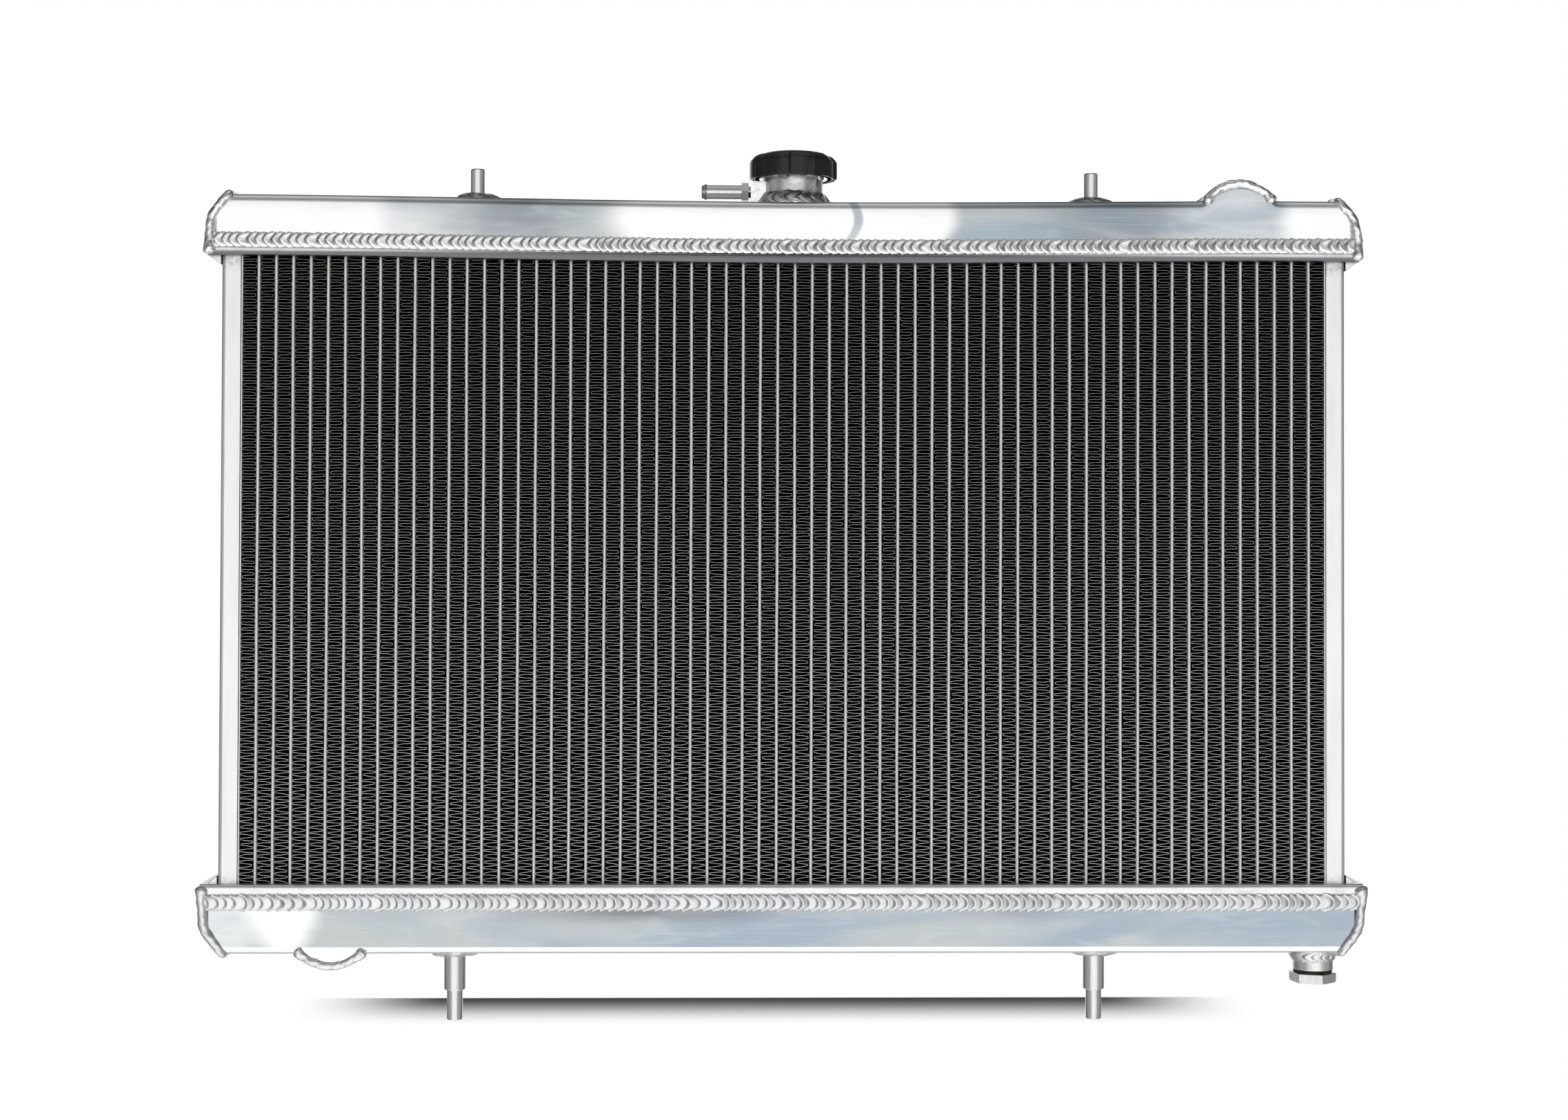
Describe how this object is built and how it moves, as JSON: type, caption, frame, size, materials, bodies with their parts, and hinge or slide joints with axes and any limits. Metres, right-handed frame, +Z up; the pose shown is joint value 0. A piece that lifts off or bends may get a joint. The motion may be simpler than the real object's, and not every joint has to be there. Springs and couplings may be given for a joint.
{
  "type": "car radiator",
  "caption": "Welded aluminium downflow car radiator with a bayonet pressure cap, overflow nipple, rear hose pipes, locating pins and a screw drain plug.",
  "frame": {"origin": "on the core's middle lines in width and depth, level with the shoulders of the two lower pins", "axes": "+X to the right seen from the grille side, +Y back to the engine, +Z up"},
  "size_m": [0.679, 0.1013, 0.5144],
  "materials": {
    "polished_aluminium": "polished sheet",
    "satin_aluminium": "satin, as machined and welded",
    "core_aluminium": "furnace brazed, matt",
    "spring_steel": "bright stainless",
    "valve_brass": "turned",
    "black_plastic": "black, half gloss",
    "black_rubber": "matt"
  },
  "bodies": {
    "radiator": {"core": "core_aluminium", "side_strip_left": "core_aluminium", "side_strip_right": "core_aluminium", "side_plate_left": "satin_aluminium", "side_plate_right": "satin_aluminium", "top_header": "satin_aluminium", "bottom_header": "satin_aluminium", "top_tank": "polished_aluminium", "bottom_tank": "polished_aluminium", "top_tank_end_left": "satin_aluminium", "top_tank_end_right": "satin_aluminium", "bottom_tank_end_left": "satin_aluminium", "bottom_tank_end_right": "satin_aluminium", "corner_gusset_top_left": "satin_aluminium", "corner_gusset_top_right": "satin_aluminium", "corner_gusset_bottom_left": "satin_aluminium", "corner_gusset_bottom_right": "satin_aluminium", "inlet_pipe": "satin_aluminium", "outlet_pipe": "satin_aluminium", "top_pin_left": "satin_aluminium", "top_pin_right": "satin_aluminium", "lower_pin_left": "satin_aluminium", "lower_pin_right": "satin_aluminium", "filler_neck": "satin_aluminium", "overflow_fitting": "satin_aluminium", "drain_boss": "satin_aluminium"},
    "drain_ring": {"drain_seal": "black_rubber"},
    "drain_screw": {"drain_plug": "satin_aluminium"},
    "cap_insert": {"cap_stem": "valve_brass", "cap_gasket": "black_rubber", "pressure_spring": "spring_steel"},
    "cap": {"cap_cover": "black_plastic", "cap_shell": "spring_steel"},
    "pressure_valve": {"pressure_plate": "valve_brass", "pressure_seal": "black_rubber", "vacuum_spring": "spring_steel"},
    "vacuum_poppet": {"vacuum_valve": "valve_brass"}
  },
  "joints": [
    {"name": "cap_lift", "type": "slide", "parent": "radiator", "child": "cap_insert", "axis": [0, 0, 1], "range_m": [0, 0.06]},
    {"name": "cap_turn", "type": "hinge", "parent": "cap_insert", "child": "cap", "pos_m": [0.0045, 0, 0.4862], "axis": [0, 0, -1], "range_deg": [0, 90]},
    {"name": "pressure_valve_lift", "type": "slide", "parent": "cap_insert", "child": "pressure_valve", "axis": [0, 0, 1], "range_m": [0, 0.003], "stiffness_N_per_m": 2000, "deforming": ["pressure_spring"]},
    {"name": "vacuum_valve_drop", "type": "slide", "parent": "pressure_valve", "child": "vacuum_poppet", "axis": [0, 0, -1], "range_m": [0, 0.0015], "stiffness_N_per_m": 300, "deforming": ["vacuum_spring"]},
    {"name": "drain_travel", "type": "slide", "parent": "radiator", "child": "drain_ring", "axis": [0, 0, -1], "range_m": [0, 0.0091]},
    {"name": "drain_turn", "type": "hinge", "parent": "drain_ring", "child": "drain_screw", "pos_m": [0.315, -0.008, 0.0237], "axis": [0, 0, -1], "range_deg": [0, 2160]}
  ],
  "couplings": [
    {"joint": "drain_travel", "follows": "drain_turn", "m_per_rad": 0.00023873}
  ]
}
